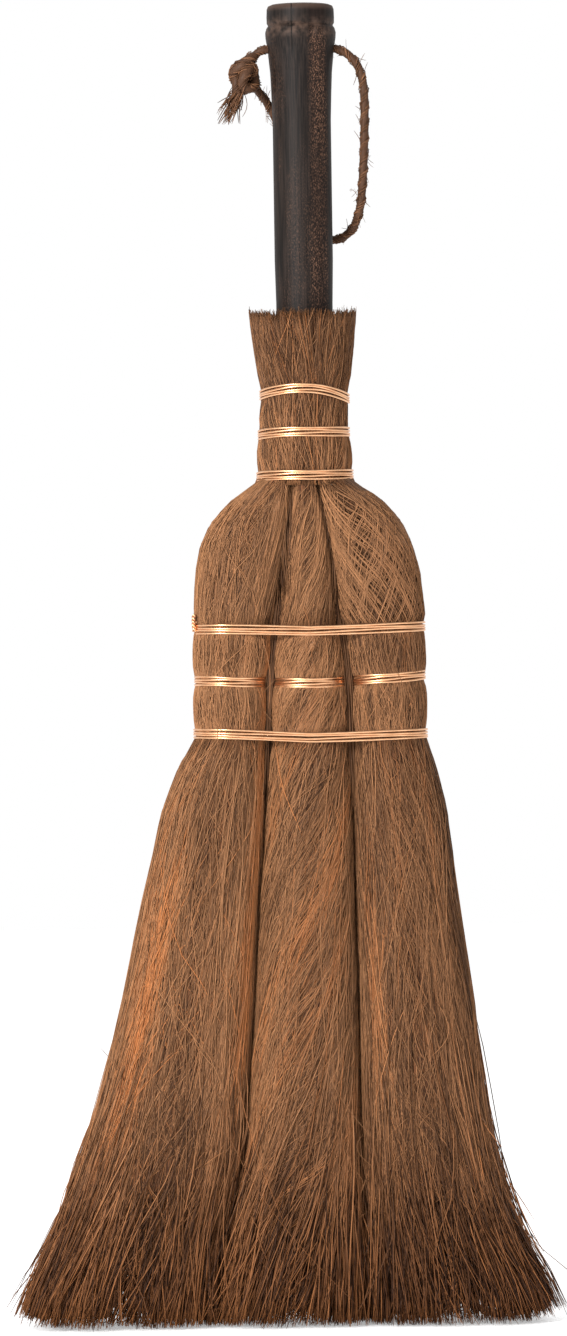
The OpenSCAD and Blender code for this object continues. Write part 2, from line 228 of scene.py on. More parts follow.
def swept(name, paths, radius, section, tilt=None):
    """One mesh: the section swept along each path, (n, points, 3) in mm. radius fits (n, points)."""
    curve = bpy.data.curves.new(name, "CURVE")
    curve.dimensions = "3D"
    curve.bevel_mode = "OBJECT"
    curve.bevel_object = section
    curve.use_fill_caps = True
    count, points = len(paths), len(paths[0])
    placed = np.concatenate([np.asarray(paths) * MM, np.ones((count, points, 1))], axis=2)
    placed = placed.astype(np.float32)
    radius = np.broadcast_to(radius, (count, points)).astype(np.float32)
    for path, thickness in zip(placed, radius):
        spline = curve.splines.new("POLY")
        spline.points.add(points - 1)
        spline.points.foreach_set("co", path.ravel())
        spline.points.foreach_set("radius", thickness.ravel())
        if tilt is not None:
            spline.points.foreach_set("tilt", np.asarray(tilt, np.float32))
    piece = bpy.data.objects.new(name, curve)
    bpy.context.collection.objects.link(piece)
    bpy.ops.object.select_all(action="DESELECT")
    bpy.context.view_layer.objects.active = piece
    piece.select_set(True)
    bpy.ops.object.convert(target="MESH")
    bpy.ops.object.shade_smooth()
    return bpy.context.object


def shade(mesh, tone, tan):
    """The attributes tone and tan, with one value for each vertex."""
    for key, values in (("tone", tone), ("tan", tan)):
        layer = mesh.attributes.new(key, "FLOAT", "POINT")
        layer.data.foreach_set("value", np.asarray(values, np.float32))


def fibres(name, paths, radius, tone, tan, material, body="broom"):
    """A piece of many threads, thinner at both ends, each with its own radius, tone and tan."""
    count, points = paths.shape[:2]
    ends = np.minimum(1, 0.45 + 2.2 * np.sin(np.pi * np.linspace(0, 1, points)))
    piece = swept(name, paths, np.asarray(radius)[:, None] * ends, thread_section)
    # The vertices of both end caps come first, from the last thread to the first, and then the sides
    caps, walls = np.repeat(np.arange(count)[::-1], 6), np.repeat(np.arange(count), 3 * points)
    thread_of = np.concatenate([caps, walls])
    shade(piece.data, tone[thread_of], tan[thread_of])
    bpy.ops.object.mode_set(mode="EDIT")
    bpy.ops.mesh.select_all(action="SELECT")
    bpy.ops.mesh.remove_doubles(threshold=WELD)
    bpy.ops.object.mode_set(mode="OBJECT")
    piece.data.materials.append(material)
    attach(piece, body)
    return piece


def fibre_finish(name, dark, light, tan, tip, tip_low, tip_high):
    """Palm fibre: each thread's tone runs from dark to light, some are tan, and low down the threads turn
    rustier and darker, the darkening being painted shade.
    """
    f = Finish(name, roughness=0.55, Specular_IOR_Level=0.15)
    streak = f.noise(f.place((900, 900, 60)), detail=1.0)
    colour = f.mix((f.attribute("tone") * 0.8 + streak * 0.35 - 0.07).clamped(), dark, light)
    colour = f.mix(f.attribute("tan").clamped(), colour, tan)
    rusty = tuple(level * part for level, part in zip(light, RUST))
    # Low down the threads turn rustier and darker: the rust is the fibre's own colour, and the darkening is
    # painted shade at the bottom of the brush.
    worn = f.mix(f.attribute("tone"), tip, rusty)
    colour = f.mix(f.ramp(f.axis("Z"), tip_high, tip_low) * 0.92, colour, worn)
    return f.finish(colour)


# ---------------------------------------------------------------- hanging cord
# A thin cord of palm fibre, twisted by hand from two plies. It goes through
# the handle, down its right side and up behind it into one overhand knot.
CORD_D, KNOT_D, PLIES = 3.6, 4.7, 2
CORD_ROUTE = [
    (-18, 0, 460.5), (-16.2, 0, 463.4), (-13.6, 0, 464.9), (-11, 0, 465), (0, 0, 465), (11, 0, 465),
    (13.8, 0, 464.6), (17, 0, 462.9), (19.8, 0, 460), (21.8, 0, 455.8), (22.8, 0.5, 450),
    (23, 1.5, 442), (22.8, 2.5, 433), (22.4, 3.5, 424), (21.8, 5, 415), (20.8, 7, 407),
    (18.4, 9.8, 400.4), (14, 12.4, 396.6), (8.6, 13.8, 396.2), (3.8, 14.3, 399.4), (0.4, 14.4, 406),
    (-2.2, 14.3, 415), (-4.6, 14, 424.5), (-7.2, 13.2, 434), (-10.2, 11.4, 442), (-13.4, 8.8, 447.4),
    (-16.2, 5, 450.6), (-18.4, 1.4, 453),
]


def smooth(points, step):
    """Points a step apart on the smooth curve through the given ones."""
    p = np.asarray(points, float)
    p = np.vstack([2 * p[0] - p[1], p, 2 * p[-1] - p[-2]])
    fine = []
    for a, b, c, d in zip(p, p[1:], p[2:], p[3:]):
        t = np.linspace(0, 1, 24, endpoint=False)[:, None]
        square, cube = 2 * a - 5 * b + 4 * c - d, 3 * b - a - 3 * c + d
        fine.append(0.5 * (2 * b + (c - a) * t + square * t**2 + cube * t**3))
    fine = np.vstack([*fine, p[-2:-1]])
    far = np.concatenate([[0], np.cumsum(np.linalg.norm(np.diff(fine, axis=0), axis=1))])
    at = np.linspace(0, far[-1], max(2, int(round(far[-1] / step)) + 1))
    return np.stack([np.interp(at, far, fine[:, k]) for k in range(3)], axis=1)


def sides(path):
    """Two directions square to the path at each of its points, carried along without twisting."""
    ahead = np.gradient(path, axis=0)
    ahead /= np.linalg.norm(ahead, axis=1)[:, None]
    first = np.cross(ahead[0], (0.3, 1, 0.2))
    out = []
    for t in ahead:
        first = first - t * first.dot(t)
        first /= np.linalg.norm(first)
        out.append(first)
    out = np.array(out)
    return out, np.cross(ahead, out)


def rope(name, route, diameter, per_ply=9):
    """A cord of two twisted plies: a tube with two lobes, and the fibres that lie on it."""
    path = smooth(route, 1.0)
    along = np.concatenate([[0], np.cumsum(np.linalg.norm(np.diff(path, axis=0), axis=1))])
    turn = 2 * np.pi * along / (3.2 * diameter)
    core = swept(name, [path], diameter * 0.44, rope_section, tilt=turn)
    core.data.materials.append(cord_finish)
    vertices = len(core.data.vertices)
    shade(core.data, np.full(vertices, 0.2), np.zeros(vertices))
    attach(core, "hanging_loop")
    across, over = sides(path)
    threads = []
    for ply in range(PLIES):
        for k in range(per_ply):
            main = turn + 2 * np.pi * ply / PLIES
            own = turn * 2.1 + 2 * np.pi * k / per_ply + rng.uniform(0, 1)
            mid, small = diameter * 0.23, diameter * (0.25 + rng.uniform(-0.02, 0.05))
            x = mid * np.cos(main) + small * np.cos(own)
            y = mid * np.sin(main) + small * np.sin(own)
            threads.append(path + across * x[:, None] + over * y[:, None])
    count = len(threads)
    lay = fibres(
        name + "_fibres", np.array(threads), rng.uniform(0.16, 0.26, count), rng.uniform(0, 1, count),
        rng.uniform(-0.5, 0.3, count), cord_finish, "hanging_loop",
    )
    return core, lay, path, along[-1]


rope_section = section_of("rope_section", 12, waist=0.8)
cord_finish = fibre_finish(
    "cord_fibre", dark=(0.02, 0.009, 0.005), light=(0.2, 0.094, 0.048), tan=(0.3, 0.135, 0.058),
    tip=(0.02, 0.01, 0.006), tip_low=-1.0, tip_high=-0.9,
)
cord, cord_fibres, cord_path, cord_length = rope("hanging_cord_core", CORD_ROUTE, CORD_D)

# The cord is hairy: loose fibres stand off it all along, and one curls right out.
HAIRS = 90
CURL_ROOT = np.array((20.6, 5.5, 411))
across, over = sides(cord_path)
ahead = np.gradient(cord_path, axis=0)
t = np.linspace(0, 1, 6)[:, None]
hairs = []
for k in rng.integers(24, len(cord_path) - 4, HAIRS):
    turn, reach = rng.uniform(0, 2 * np.pi), rng.uniform(1.2, 4.0)
    out = across[k] * np.cos(turn) + over[k] * np.sin(turn)
    lean = ahead[k] * rng.choice((-1, 1)) * rng.uniform(1.5, 6)
    hairs.append(cord_path[k] + out * (1.3 + reach * t**1.5) + lean * t + rng.normal(0, 0.25, 3) * t)
turn = 1.6 * np.pi * t
curl = np.hstack([-3.4 * np.sin(turn / 2), 0 * t, 4.2 * t + 1.5 * np.sin(turn)])
hairs.append(CURL_ROOT + curl)
count = len(hairs)
cord_hairs = fibres(
    "hanging_cord_hairs", np.array(hairs), rng.uniform(0.07, 0.13, count), rng.uniform(0.2, 1, count),
    np.zeros(count), cord_finish, "hanging_loop",
)

# The knot: both ends of the cord tied together in one overhand knot.
KNOT_ROUTE = [
    (-17.2, -0.6, 462.6), (-19.6, -2.6, 460.6), (-22.8, -2.4, 458.4), (-24.2, 0.4, 455.4),
    (-22.4, 3.0, 453.0), (-19.0, 3.2, 453.8), (-17.4, 1.4, 456.8), (-18.4, -1.6, 458.6),
    (-20.5, -3.3, 455.9), (-21.3, -2.9, 453.0), (-20.2, -1.6, 450.6), (-17.4, 0.2, 451.6),
    (-16.8, 2.4, 454.6), (-19.0, 3.6, 458.2), (-21.8, 2.6, 459.6), (-24.0, 0.6, 457.4),
    (-23.6, -0.8, 452.6), (-23.2, -0.4, 449.4),
]
knot, knot_fibres, _, _ = rope("cord_knot_core", KNOT_ROUTE, KNOT_D, per_ply=10)
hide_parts("cord_knot")

# Below the knot the two ends are frayed into a loose tuft.
TAIL_TOP = np.array((-22.6, 0, 450.5))
TAILS = 110
t = np.linspace(0, 1, 7)[None, :, None]
fan = rng.normal(0, 1, (TAILS, 2))
tail_end = np.stack([-26.4 + 1.9 * fan[:, 0], 1.5 * fan[:, 1], rng.uniform(437.6, 446, TAILS)], axis=1)
tail_start = TAIL_TOP + rng.normal(0, 0.9, (TAILS, 3))
bow = rng.normal(0, 0.8, (TAILS, 1, 3)) * np.sin(np.pi * t)
tails = fibres(
    "cord_tails_fibres", tail_start[:, None] * (1 - t) + tail_end[:, None] * t + bow,
    rng.uniform(0.12, 0.22, TAILS), rng.uniform(0, 1, TAILS), rng.uniform(-0.6, 0.4, TAILS),
    cord_finish, "hanging_loop",
)
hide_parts("cord_tails")
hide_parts("hanging_cord")

# ---------------------------------------------------------------- handle
# A culm of smoked black bamboo: satin and almost black, with a fine brown
# mottle in a band down its right side, worn brown at its swollen node and at
# its top edge, with one fine crack.
CULM_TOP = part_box("handle_culm")[1].z
NODE_Z = CULM_TOP - 0.0075
CRACK_X = -0.0033


def bamboo_finish():
    """Black bamboo. Colours go from the grain to the mottle, the worn places and the crack."""
    f = Finish("black_bamboo", Specular_IOR_Level=0.12)
    across, height = f.axis("X"), f.axis("Z")
    grain = f.noise(f.place((1500, 1500, 45)), detail=3.0, rough=0.6)
    dashes = f.noise(f.place((3300, 3300, 1300)), detail=2.0, rough=0.6)
    clouds = f.noise(f.place((130, 130, 26)), detail=2.0)
    right_side = f.ramp(across, 0.0015, 0.0045) * f.ramp(across, 0.0098, 0.0078)
    patches = f.ramp(clouds, 0.42, 0.7)
    mottle = f.ramp(dashes, 0.5, 0.66) * (patches * 0.3 + right_side * (patches * 0.45 + 0.5))
    mottle = (mottle * f.ramp(height, NODE_Z + 0.001, NODE_Z - 0.004)).clamped()
    colour = f.mix(f.ramp(grain, 0.3, 0.75), (0.004, 0.0028, 0.0023), (0.022, 0.015, 0.012))
    colour = f.mix(right_side * 0.5, colour, (0.011, 0.0045, 0.0028))
    colour = f.mix(mottle * 0.95, colour, (0.19, 0.098, 0.06))
    low_grain = f.noise(f.place((420, 420, 420)), detail=3.0)
    from_node = (height - (NODE_Z - 0.0012)).absolute()
    worn = f.ramp(from_node, 0.0052, 0.0005) * f.ramp(low_grain, 0.3, 0.75)
    edge = f.ramp(height, CULM_TOP - 0.003, CULM_TOP - 0.0006)
    colour = f.mix((worn * 0.75 + edge * 0.55).clamped(), colour, (0.095, 0.058, 0.042))
    off_crack = (across - CRACK_X + (clouds - 0.5) * 0.0006).absolute()
    crack = f.ramp(off_crack, 0.0003, 0.0001) * f.ramp(height, CULM_TOP - 0.02, CULM_TOP - 0.014)
    colour = f.mix(crack, colour, (0.006, 0.004, 0.003))
    f.put(f.shader.inputs["Roughness"], grain * 0.2 + 0.44)
    return f.finish(colour, bump=grain * 0.6 + mottle * 0.2 - crack, strength=0.35, distance=0.0003)


def coat(node, material):
    """A CAD node that is shown as it is, with a material of its own."""
    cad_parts[node].data.materials.clear()
    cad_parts[node].data.materials.append(material)


coat("handle_culm", bamboo_finish())

# ---------------------------------------------------------------- bundles
# Each bundle is a sheet of combed palm bark rolled round a core of straight
# fibres. Seen from the front, the edges and the valleys between the bundles
# follow these heights and places in mm, smoothed.
FLARE_Z, BODY_TOP, NECK_Z = 213, 266, 307
BODY_WIRE_Z = (215.0, 234.5, 254.0)
NECK_WIRE_Z = (309.2, 325.0, 340.8)
LOWEST, HIGHEST, STEP = -12, 372, 0.5
HEIGHTS = np.arange(LOWEST, HIGHEST, STEP)
SMOOTHING = np.hanning(13)


def outline(*points):
    """A smooth curve of height against place, as a function."""
    z, x = np.array(points, float).T
    margin = len(SMOOTHING) // 2 * STEP
    line = np.interp(np.arange(LOWEST - margin, HIGHEST + margin, STEP), z, x)
    line = np.convolve(line, SMOOTHING / SMOOTHING.sum(), mode="valid")
    return lambda at: np.interp(at, HEIGHTS, line)


left_edge = outline(
    (-12, -111), (0, -109), (12, -106.5), (21, -103), (30, -99), (47, -92), (82, -79.6), (117, -70.7),
    (152, -63), (187, -54.8), (205, -47.8), (211, -43.4), (215, -42.3), (231, -42.5), (254, -42.3),
    (264, -41.9), (275, -40.9), (284, -39.2), (292, -35.6), (300, -28.6), (304, -22.4), (306.4, -18.2),
    (310, -18), (318, -17.8), (327, -17.2), (337, -16), (345, -17), (369, -20.2),
)
right_edge = outline(
    (-12, 87), (0, 85.5), (12, 83), (21, 79.5), (30, 75), (47, 69.6), (65, 65.2), (82, 61.8),
    (117, 58.1), (152, 53.3), (187, 49.2), (205, 44.8), (211, 43), (215, 42.2), (231, 42.5),
    (257, 41.9), (275, 39.8), (284, 37.2), (292, 33.6), (300, 26.8), (304, 21), (306.4, 16.8),
    (310, 16.5), (318, 16.2), (327, 15.3), (337, 15), (345, 16.2), (369, 18.7),
)
left_valley = outline(
    (-12, -41), (0, -38), (34, -33), (65, -26), (120, -21.7), (152, -19.8), (176, -17.6), (213, -15.6),
    (231, -15), (254, -12.4), (294, -6.4), (307, -5.4), (369, -5.4),
)
right_valley = outline(
    (-12, 18.5), (32, 17.1), (79, 16), (121, 15.9), (185, 15), (234, 14.3), (245, 13), (259, 10.8),
    (281, 8.4), (306, 4), (369, 4),
)
half_depth = outline(
    (-12, 22.4), (12, 22), (60, 18.6), (150, 15.2), (205, 14.4), (266, 14.4), (290, 15.2), (307, 16.6),
    (318, 16.2), (336, 15.2), (345, 15.8), (369, 18.4),
)
BOUNDS = ((left_edge, left_valley), (left_valley, right_valley), (right_valley, right_edge))
NAMES = ("left", "centre", "right")


def near(z, wire, reach, power=2):
    """1 at a wire's height, and falling to 0 over its reach."""
    return np.exp(-(np.abs((z - wire) / reach) ** power))


def pinch(z):
    """How far the wires press a bundle in at a height. The middle one goes round each bundle by itself."""
    body = sum(0.32 * near(z, wire, 2.4) for wire in BODY_WIRE_Z)
    return body + 0.38 * near(z, BODY_WIRE_Z[1], 3.2) + 1.1 * near(z, NECK_WIRE_Z[0] + 0.6, 3.2, 4)


def loose(z, wires):
    """How free a fibre is to stand off: 0 under a wire and 1 away from all."""
    return 1 - sum(near(z, wire, 2.6, 4) for wire in wires)


def surface(i, turn, z, lift):
    """The place on bundle i at a turn about it, in radians, and a height. Lift is outwards, in mm."""
    low, high = (edge(z) for edge in BOUNDS[i])
    square = np.interp(z, (0, FLARE_Z), (3.0, 2.1))
    lift = lift * np.where(np.asarray(lift) > 0, loose(z, BODY_WIRE_Z), 1)
    off = lift - pinch(z)
    c, s = np.cos(turn), np.sin(turn)
    # Towards the neck the sides that touch are pressed flat
    inner = (i == 1) | ((i == 0) & (c > 0)) | ((i == 2) & (c < 0))
    square = square + np.where(inner, np.interp(z, (262, 284, NECK_Z), (0, 1.4, 2.4)), 0)
    x = (low + high) / 2 + ((high - low) / 2 + off) * np.sign(c) * np.abs(c) ** (2 / square)
    y = (half_depth(z) + off) * np.sign(s) * np.abs(s) ** (2 / square)
    # The heads are drawn into one round neck
    west, east = left_edge(z), right_edge(z)
    across = np.clip((x - (west + east) / 2) / ((east - west) / 2 + 0.3), -1, 1)
    drawn_in = np.clip((z - 295) / 12, 0, 1)
    round_y = np.minimum(np.abs(y), (half_depth(z) + off) * np.sqrt(1 - across**2)) * np.sign(y)
    return np.stack([x, y + (round_y - y) * drawn_in, z + 0 * x], axis=-1)


BRUSH_LEFT, BRUSH_RIGHT, CORNER_RISE = 109.5, 86.3, 12


def tip_height(x):
    """How far above the sweeping edge the trimmed tips are at a place across the brush."""
    reach = np.where(x < 0, -x / BRUSH_LEFT, x / BRUSH_RIGHT)
    return CORNER_RISE * (1 - np.sqrt(1 - np.clip((reach - 0.78) / 0.24, 0, 1) ** 2))


bark_finish = fibre_finish(
    "bark_fibre", dark=(0.037, 0.0145, 0.006), light=(0.385, 0.18, 0.079), tan=(0.5, 0.178, 0.056),
    tip=(0.026, 0.0085, 0.0028), tip_low=0.01, tip_high=0.09,
)


def mat_finish(name, dark, light):
    """The packed fibres seen in the gaps between the threads on top, coloured dark as painted shade in those
    gaps.
    """
    f = Finish(name, roughness=0.8, Specular_IOR_Level=0.2)
    streak = f.noise(f.place((1500, 1500, 70)), detail=3.0, rough=0.6)
    return f.finish(f.mix(f.ramp(streak, 0.35, 0.7), dark, light), bump=streak, strength=0.6, distance=0.0004)


# The packed bark and the core are the same fibre as the threads, coloured darker: painted shade in the gaps
# and the valleys.
shaded_mat_material = mat_finish("packed_bark_painted_shade", (0.028, 0.01, 0.004), (0.16, 0.062, 0.024))
shaded_core_material = mat_finish("packed_core_painted_shade", (0.014, 0.005, 0.002), (0.07, 0.027, 0.011))


def cut_rings(tube, rings):
    """Cut the sides of an upright tube of height 1 into rings."""
    bpy.context.tool_settings.mesh_select_mode = (False, True, False)
    for part in (tube.data.vertices, tube.data.edges, tube.data.polygons):
        part.foreach_set("select", [False] * len(part))
    for edge in tube.data.edges:
        a, b = (tube.data.vertices[k].co for k in edge.vertices)
        edge.select = abs(a.z - b.z) > 0.5
    bpy.ops.object.mode_set(mode="EDIT")
    bpy.ops.mesh.subdivide(number_cuts=rings - 1)
    bpy.ops.object.mode_set(mode="OBJECT")


def rolled(name, place, low, high, rings, wall, material):
    """A closed roll on the surface place(turn, z): a sheet with a wall, or a solid where wall is 0."""
    ends = "NOTHING" if wall else "NGON"
    bpy.ops.object.select_all(action="DESELECT")
    bpy.ops.mesh.primitive_cylinder_add(
        vertices=48, radius=1, depth=1, end_fill_type=ends, location=(0, 0, 0)
    )
    piece = bpy.context.object
    piece.name = name
    cut_rings(piece, rings)
    for vertex in piece.data.vertices:
        z = low + (high - low) * (vertex.co.z + 0.5)
        vertex.co = place(np.arctan2(vertex.co.y, vertex.co.x), z) * MM
    if wall:
        shell = piece.modifiers.new("wall", "SOLIDIFY")
        shell.thickness = wall * MM
        shell.offset = -1
        bpy.ops.object.modifier_apply(modifier=shell.name)
    bpy.ops.object.shade_smooth()
    piece.data.materials.append(material)
    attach(piece, "broom")
    return piece


# How each bundle's fibres lie: their lean over the bundle in degrees, how even
# they are, how light, and where tan or dark fibres run (turn, half width, low,
# high, strength).
LAY = (
    dict(lean=1, spread=5, cross=0.16, tone=0.03,
         tan=((238, 13, 64, 164, 1.1), (329, 14, 84, 262, 0.95), (282, 7, 90, 150, 0.35),
              (212, 9, 120, 212, 0.45)),
         dark=((276, 20, 45, 92, 0.35), (262, 9, 150, 215, 0.2), (308, 20, 256, 300, 0.12))),
    dict(lean=23, spread=7, cross=0.26, tone=0.0,
         tan=((60, 20, 60, 215, 0.6), (150, 16, 60, 230, 0.5), (260, 13, 85, 222, 0.7),
              (315, 16, 60, 150, 0.5)),
         dark=((20, 22, 60, 150, 0.2), (200, 26, 80, 215, 0.15))),
    # The right bundle's lower tone is painted shade, the light coming from the left.
    dict(lean=-2, spread=6, cross=0.24, tone=-0.15,
         tan=((229, 12, 84, 170, 0.65), (268, 9, 90, 215, 0.3), (310, 8, 120, 300, 0.3)),
         dark=((262, 36, 252, 306, 0.42), (235, 16, 120, 240, 0.14), (335, 22, 100, 300, 0.18))),
)
LANE_Z, FADE = 140.0, 25
BARK_LOW, BARK_TOP = 30, 308.4
# Threads are shorter between the bindings and on the shoulder, so more of them lie there
CROWD_BODY, CROWD_SHOULDER = 3.4, 1.7
# How unevenly the lower ends stop, in mm, and how far the threads that cross lean, in degrees
RAGGED, CROSS_LEAN = 34, (14, 30)


def lie_on(i, count, length, lift, points, spread):
    """Threads that lie on bundle i, each between two bindings.

    Returns their paths, and each one's turn at LANE_Z and its middle height.
    """
    lay = LAY[i]
    low, high = (edge(HEIGHTS) for edge in BOUNDS[i])
    girth = (high - low) + 2 * half_depth(HEIGHTS)
    girth = np.where((HEIGHTS > BARK_LOW) & (HEIGHTS < BARK_TOP), girth, 0)
    crowd = np.where(HEIGHTS < BODY_WIRE_Z[2], CROWD_BODY, CROWD_SHOULDER)
    girth = girth * np.where(HEIGHTS < FLARE_Z, 1.0, crowd)
    share = np.cumsum(girth) / girth.sum()
    middle = np.interp(rng.uniform(0, 1, count), share, HEIGHTS)
    reach = rng.uniform(*length, count) / 2
    stops = np.array((BARK_LOW, *BODY_WIRE_Z, BARK_TOP))
    stretch = np.clip(np.searchsorted(stops, middle) - 1, 0, len(stops) - 2)
    ragged = np.where(stretch == 0, rng.uniform(0, RAGGED, count), 0)
    start = np.maximum(middle - reach, stops[stretch] + ragged)
    end = np.maximum(np.minimum(middle + reach, stops[stretch + 1]), start + 6)
    middle = (start + end) / 2
    turn = rng.uniform(0, 2 * np.pi, count)
    wild = rng.uniform(0, 1, count) < lay["cross"]
    lean = lay["lean"] + rng.normal(0, lay["spread"] * spread, count)
    crossing = rng.choice((-1, 1), count) * rng.uniform(*CROSS_LEAN, count)
    lean = np.radians(lean + np.where(wild, crossing, 0))
    t = np.linspace(1, 0, points)[None, :]
    z = start[:, None] + (end - start)[:, None] * t
    radius = np.interp(z, (0, FLARE_Z, BODY_TOP, NECK_Z), (30, 15, 14, 10))
    waves = 2 * t * rng.uniform(1.5, 4, (count, 1))
    wobble = 0.04 * np.sin(waves + rng.uniform(0, 2 * np.pi, (count, 1)))
    at = turn[:, None] + np.tan(lean)[:, None] * (z - middle[:, None]) / radius + wobble
    height = rng.uniform(*lift, (count, 1)) * np.sin(np.pi * t) - 0.3
    lane = turn + np.tan(np.radians(lay["lean"])) * (LANE_Z - middle) / 17
    return surface(i, at, z, height), lane, middle


def streaks(i, kind, lane, middle):
    """The tan or dark streaks that run with bundle i's fibres, for each thread."""
    amount = np.zeros(len(lane))
    for turn, wide, low, high, strength in LAY[i][kind]:
        off = (np.degrees(lane) - turn + 180) % 360 - 180
        inside = np.clip((middle - low) / FADE + 0.5, 0, 1) * np.clip((high - middle) / FADE + 0.5, 0, 1)
        amount += strength * np.exp(-((off / wide) ** 2)) * inside
    return amount


def patchy(lane, middle, seed):
    """Slow light and dark patches along and across the threads, from -1 to 1."""
    a, b, c = np.random.default_rng(seed).uniform(0, 6, 3)
    slow, quick = np.sin(3 * lane + a + middle / 37), np.sin(7 * lane + b - middle / 23)
    return (slow + quick + np.sin(13 * lane + c)) / 3


def bunched(lane, middle, seed):
    """Neighbouring threads share a tone: one random value for each narrow bunch."""
    tones = np.random.default_rng(seed).normal(0, 1, 4096)
    bunch = np.floor(lane * 15 + 0.4 * np.sin(middle / 9)).astype(int)
    stretch = np.floor(middle / 34).astype(int)
    return tones[(bunch * 31 + stretch * 577) % len(tones)]


for i, name in enumerate(NAMES):
    mat = rolled(
        name + "_bark_sheet", lambda turn, z: surface(i, turn, z, -0.55), 50, 309, 60, 1.6,
        shaded_mat_material,
    )
    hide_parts(name + "_bark")
    core = rolled(
        name + "_core_wad", lambda turn, z: surface(i, turn, z, -2.9), 30, 306, 60, 0,
        shaded_core_material,
    )
    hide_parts(name + "_core")

    # Most threads lie flat, and lighter ones cross over them; the flat ones' darker tone is painted shade
    # beneath the threads on top
    for layer, count, points, length, lift, thick, light, spread in (
        ("under", 4200, 7, (45, 120), (-0.2, 0.12), (0.14, 0.215), 0.34, 1.0),
        ("over", 2300, 8, (30, 95), (0.1, 0.6), (0.11, 0.18), 0.66, 1.5),
    ):
        paths, lane, middle = lie_on(i, count, length, lift, points, spread)
        tone = light + LAY[i]["tone"] + rng.normal(0, 0.2, count) + 0.12 * patchy(lane, middle, i)
        tone += 0.12 * bunched(lane, middle, i + 40) - streaks(i, "dark", lane, middle)
        # Threads between the lower and upper body bindings are made lighter: painted light against the shade
        # near the wires.
        tone += 0.12 * ((middle > FLARE_Z) & (middle < BODY_WIRE_Z[2]))
        tan = rng.normal(-0.28, 0.17, count) + streaks(i, "tan", lane, middle)
        fibres(
            f"{name}_bark_{layer}", paths, rng.uniform(*thick, count), np.clip(tone, 0, 1),
            np.clip(tan, 0, 0.95), bark_finish,
        )

# Loose fibres fill the seams where the bundles lie against each other; their dark tone is painted shade deep
# in the seams.
SEAM = 260
t = np.linspace(0, 1, 6)[None, :]
for name, valley in (("left_seam", left_valley), ("right_seam", right_valley)):
    z = rng.uniform(188, 215, SEAM)[:, None] * (1 - t) + rng.uniform(256, 292, SEAM)[:, None] * t
    x = valley(z) + rng.normal(0, 0.75, (SEAM, 1)) + 0.3 * np.sin(9 * t + rng.uniform(0, 6, (SEAM, 1)))
    y = rng.uniform(-6.5, 6.5, (SEAM, 1)) + 0 * z
    fibres(
        name + "_fibres", np.stack([x, y, z], axis=-1), rng.uniform(0.22, 0.36, SEAM),
        np.clip(rng.normal(0.08, 0.1, SEAM), 0, 1), np.zeros(SEAM), bark_finish,
    )

# The shoulder of the right bundle is coarser: its threads cross like a net.
NET = 420
t = np.linspace(0, 1, 8)[None, :]
turn = np.radians(rng.uniform(200, 350, NET))
middle, reach = rng.uniform(256, 300, (NET, 1)), rng.uniform(8, 19, (NET, 1))
z = np.clip(middle - reach, 255, 306) * (1 - t) + np.clip(middle + reach, 255, 306) * t
lean = np.radians(rng.choice((-1, 1), NET) * rng.uniform(16, 34, NET))[:, None]
at = turn[:, None] + np.tan(lean) * (z - middle) / 15
fibres(
    "right_bark_net", surface(2, at, z, 0.35 + 0.45 * np.sin(np.pi * t)), rng.uniform(0.15, 0.24, NET),
    np.clip(rng.normal(0.55, 0.22, NET), 0, 1), np.zeros(NET), bark_finish,
)

# Between the bundles' heads the handle's end is packed round with fibre, whose dark tone is painted shade in
# the valleys between the heads.
PACKED = 900
t = np.linspace(0, 1, 6)[None, :]
turn = rng.uniform(0, 2 * np.pi, PACKED)[:, None]
packed_r = rng.uniform(11.6, 14.2, PACKED)[:, None]
at = turn + np.radians(rng.normal(0, 14, PACKED))[:, None] * (t - 0.5)
z = rng.uniform(262, 290, PACKED)[:, None] * (1 - t) + rng.uniform(302, 308, PACKED)[:, None] * t
fibres(
    "head_packing", np.stack([packed_r * np.cos(at) - 0.4, packed_r * np.sin(at), z], axis=-1),
    rng.uniform(0.2, 0.32, PACKED), np.clip(rng.normal(0.14, 0.12, PACKED), 0, 1), np.zeros(PACKED),
    bark_finish,
)

# ---------------------------------------------------------------- brush
# Below the bindings the fibres of core and bark stand free and splay. Their
# tips are trimmed nearly flat, with both corners left a little higher.
BRUSH_FIBRES = (4400, 3300, 3900)
TUFTS = 60
TUFT_Z = 4.0
LEAST_X, MOST_X = -117, 93
